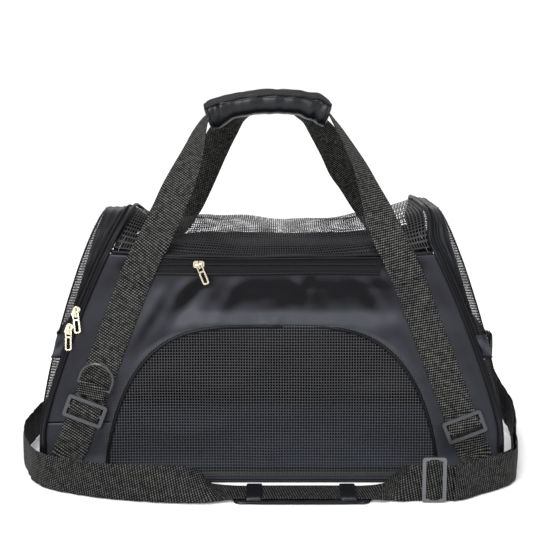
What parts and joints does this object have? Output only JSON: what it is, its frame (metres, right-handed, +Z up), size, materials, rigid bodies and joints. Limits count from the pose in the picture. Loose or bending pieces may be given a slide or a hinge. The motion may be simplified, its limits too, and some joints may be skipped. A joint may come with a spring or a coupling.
{
  "type": "pet carrier bag",
  "caption": "Soft-sided pet carrier: trapezoid fabric tub with net window, sagging net top and zipped net ends, padded carry grip on webbing loops, and a shoulder strap laid round its base.",
  "frame": {"origin": "centre of the base panel, on the surface that the bag stands on", "axes": "+X is to the right along the bag's length, the front with the net window faces -Y, +Z is up"},
  "size_m": [0.5415, 0.3806, 0.3921],
  "materials": {
    "shell_fabric": "satin polyester",
    "base_fabric": "quilted polyester",
    "net": "open knitted net",
    "piping": "piped edge binding",
    "zip_tape": "woven zip tape",
    "webbing": "pebbled webbing",
    "pad_fabric": "padded satin",
    "spring_wire": "bare wire",
    "board": "stiff board",
    "zip_metal": "pale gold plating",
    "hardware": "black coated",
    "adjuster": "grey coated"
  },
  "bodies": {
    "bag": {"front_panel": "shell_fabric", "front_window_net": "net", "window_piping": "piping", "pocket_lining": "shell_fabric", "pocket_zip": "zip_tape", "back_panel": "shell_fabric", "base_panel": "base_fabric", "top_net": "net", "top_seam_piping": "piping", "left_gusset": "shell_fabric", "right_gusset": "shell_fabric", "left_end_piping": "piping", "right_end_piping": "piping", "end_hoop_wires": "spring_wire", "left_lower_net": "net", "right_lower_net": "net", "left_cross_band": "shell_fabric", "right_cross_band": "shell_fabric", "left_flap_zip": "zip_tape", "right_flap_zip": "zip_tape", "front_carry_webbing": "webbing", "back_carry_webbing": "webbing", "front_ring_tab": "webbing", "back_ring_tab": "webbing", "shoulder_strap": "webbing", "strap_return": "webbing", "strap_end_loops": "webbing", "clip_eyes": "hardware"},
    "left_flap": {"left_flap_rim": "shell_fabric", "left_flap_net": "net"},
    "right_flap": {"right_flap_rim": "shell_fabric", "right_flap_net": "net"},
    "handle": {"grip_wrap": "pad_fabric", "front_handle_loop": "webbing", "back_handle_loop": "webbing"},
    "mat": {"base_board": "board", "floor_mat": "base_fabric"},
    "left_upper_slider": {"left_upper_slider": "zip_metal"},
    "left_lower_slider": {"left_lower_slider": "zip_metal"},
    "right_upper_slider": {"right_upper_slider": "zip_metal"},
    "right_lower_slider": {"right_lower_slider": "zip_metal"},
    "left_upper_tab": {"left_upper_tab": "zip_metal"},
    "left_lower_tab": {"left_lower_tab": "zip_metal"},
    "right_upper_tab": {"right_upper_tab": "zip_metal"},
    "right_lower_tab": {"right_lower_tab": "zip_metal"},
    "pocket_slider": {"pocket_slider": "zip_metal"},
    "pocket_tab": {"pocket_tab": "zip_metal"},
    "grip_flap": {"grip_flap": "pad_fabric"},
    "front_ring": {"front_ring": "hardware"},
    "back_ring": {"back_ring": "hardware"},
    "front_left_glide": {"front_left_glide": "hardware"},
    "front_right_glide": {"front_right_glide": "hardware"},
    "back_left_glide": {"back_left_glide": "hardware"},
    "back_right_glide": {"back_right_glide": "hardware"},
    "strap_glide": {"strap_glide": "adjuster"},
    "shoulder_pad": {"shoulder_pad": "pad_fabric"},
    "free_hook": {"free_hook": "hardware"},
    "free_gate": {"free_gate": "hardware"},
    "ringed_hook": {"ringed_hook": "hardware"},
    "ringed_gate": {"ringed_gate": "hardware"}
  },
  "joints": [
    {"name": "left_flap_fold", "type": "hinge", "parent": "bag", "child": "left_flap", "pos_m": [-0.21357, 0, 0.1495], "axis": [0, -1, 0], "range_deg": [0, 140]},
    {"name": "right_flap_fold", "type": "hinge", "parent": "bag", "child": "right_flap", "pos_m": [0.21357, 0, 0.1495], "axis": [0, 1, 0], "range_deg": [0, 140]},
    {"name": "left_upper_zip", "type": "slide", "parent": "bag", "child": "left_upper_slider", "axis": [0.3857, 0.0595, 0.9207], "range_m": [0, 0.038]},
    {"name": "left_lower_zip", "type": "slide", "parent": "bag", "child": "left_lower_slider", "axis": [0.3857, 0.0595, 0.9207], "range_m": [0, 0.038]},
    {"name": "left_upper_tab_swing", "type": "hinge", "parent": "left_upper_slider", "child": "left_upper_tab", "pos_m": [-0.19406, -0.11887, 0.17232], "axis": [-0.9925, -0.0079, -0.1216], "range_deg": [0, 165]},
    {"name": "left_lower_tab_swing", "type": "hinge", "parent": "left_lower_slider", "child": "left_lower_tab", "pos_m": [-0.20101, -0.11997, 0.15532], "axis": [-1, 0, 0], "range_deg": [0, 165]},
    {"name": "right_upper_zip", "type": "slide", "parent": "bag", "child": "right_upper_slider", "axis": [-0.3857, -0.0595, 0.9207], "range_m": [0, 0.038]},
    {"name": "right_lower_zip", "type": "slide", "parent": "bag", "child": "right_lower_slider", "axis": [-0.3857, -0.0595, 0.9207], "range_m": [0, 0.038]},
    {"name": "right_upper_tab_swing", "type": "hinge", "parent": "right_upper_slider", "child": "right_upper_tab", "pos_m": [0.19406, 0.11887, 0.17232], "axis": [0.9925, 0.0079, -0.1216], "range_deg": [0, 165]},
    {"name": "right_lower_tab_swing", "type": "hinge", "parent": "right_lower_slider", "child": "right_lower_tab", "pos_m": [0.20101, 0.11997, 0.15532], "axis": [1, 0, 0], "range_deg": [0, 165]},
    {"name": "pocket_zip_run", "type": "slide", "parent": "bag", "child": "pocket_slider", "axis": [1, 0, 0], "range_m": [-0.025, 0.165]},
    {"name": "pocket_tab_swing", "type": "hinge", "parent": "pocket_slider", "child": "pocket_tab", "pos_m": [-0.072, -0.11583, 0.21937], "axis": [-0.9272, -0.0242, -0.3738], "range_deg": [0, 165]},
    {"name": "handle_sway", "type": "hinge", "parent": "bag", "child": "handle", "pos_m": [0, 0, 0.205], "axis": [1, 0, 0], "range_deg": [-12, 12], "stiffness_Nm_per_rad": 0.6, "deforming": ["front_handle_loop", "back_handle_loop"]},
    {"name": "grip_flap_lift", "type": "hinge", "parent": "handle", "child": "grip_flap", "pos_m": [0, 0.016, 0.3893], "axis": [-1, 0, 0], "range_deg": [0, 120]},
    {"name": "front_ring_swing", "type": "hinge", "parent": "bag", "child": "front_ring", "pos_m": [-0.17647, -0.12337, 0.0981], "axis": [0.9331, -0.0232, -0.3589], "range_deg": [-15, 150]},
    {"name": "back_ring_swing", "type": "hinge", "parent": "bag", "child": "back_ring", "pos_m": [0.17647, 0.12337, 0.0981], "axis": [-0.9331, 0.0232, -0.3589], "range_deg": [-5, 5]},
    {"name": "front_left_glide_run", "type": "slide", "parent": "bag", "child": "front_left_glide", "axis": [0.3597, 0.0602, 0.9311], "range_m": [-0.025, 0]},
    {"name": "front_right_glide_run", "type": "slide", "parent": "bag", "child": "front_right_glide", "axis": [-0.3597, 0.0602, 0.9311], "range_m": [-0.015, 0.025]},
    {"name": "back_right_glide_run", "type": "slide", "parent": "bag", "child": "back_right_glide", "axis": [-0.3597, -0.0602, 0.9311], "range_m": [-0.025, 0]},
    {"name": "back_left_glide_run", "type": "slide", "parent": "bag", "child": "back_left_glide", "axis": [0.3597, -0.0602, 0.9311], "range_m": [-0.015, 0.025]},
    {"name": "strap_glide_run", "type": "slide", "parent": "bag", "child": "strap_glide", "axis": [1, 0, 0], "range_m": [-0.006, 0.005]},
    {"name": "pad_run", "type": "slide", "parent": "bag", "child": "shoulder_pad", "axis": [1, 0, 0], "range_m": [-0.006, 0.006]},
    {"name": "mat_lift", "type": "slide", "parent": "bag", "child": "mat", "axis": [0, 0, 1], "range_m": [0, 0.06]},
    {"name": "free_hook_swivel", "type": "hinge", "parent": "bag", "child": "free_hook", "pos_m": [-0.0615, 0.172, 0.004], "axis": [-1, 0, 0], "range_deg": [0, 180]},
    {"name": "free_gate_open", "type": "hinge", "parent": "free_hook", "child": "free_gate", "pos_m": [-0.0425, 0.1654, 0.004], "axis": [0, 0, 1], "range_deg": [0, 20], "stiffness_Nm_per_rad": 0.01, "springref_deg": -17.19},
    {"name": "ringed_hook_swivel", "type": "hinge", "parent": "bag", "child": "ringed_hook", "pos_m": [0.22524, 0.13155, 0.09358], "axis": [0.9511, 0.0199, -0.3084], "range_deg": [-6, 6]},
    {"name": "ringed_gate_open", "type": "hinge", "parent": "ringed_hook", "child": "ringed_gate", "pos_m": [0.20513, 0.13158, 0.09318], "axis": [0, 0.9979, 0.0645], "range_deg": [0, 8], "stiffness_Nm_per_rad": 0.01, "springref_deg": -17.19}
  ],
  "couplings": [
    {"joint": "left_lower_zip", "follows": "left_upper_zip", "ratio": 1},
    {"joint": "right_lower_zip", "follows": "right_upper_zip", "ratio": 1}
  ]
}
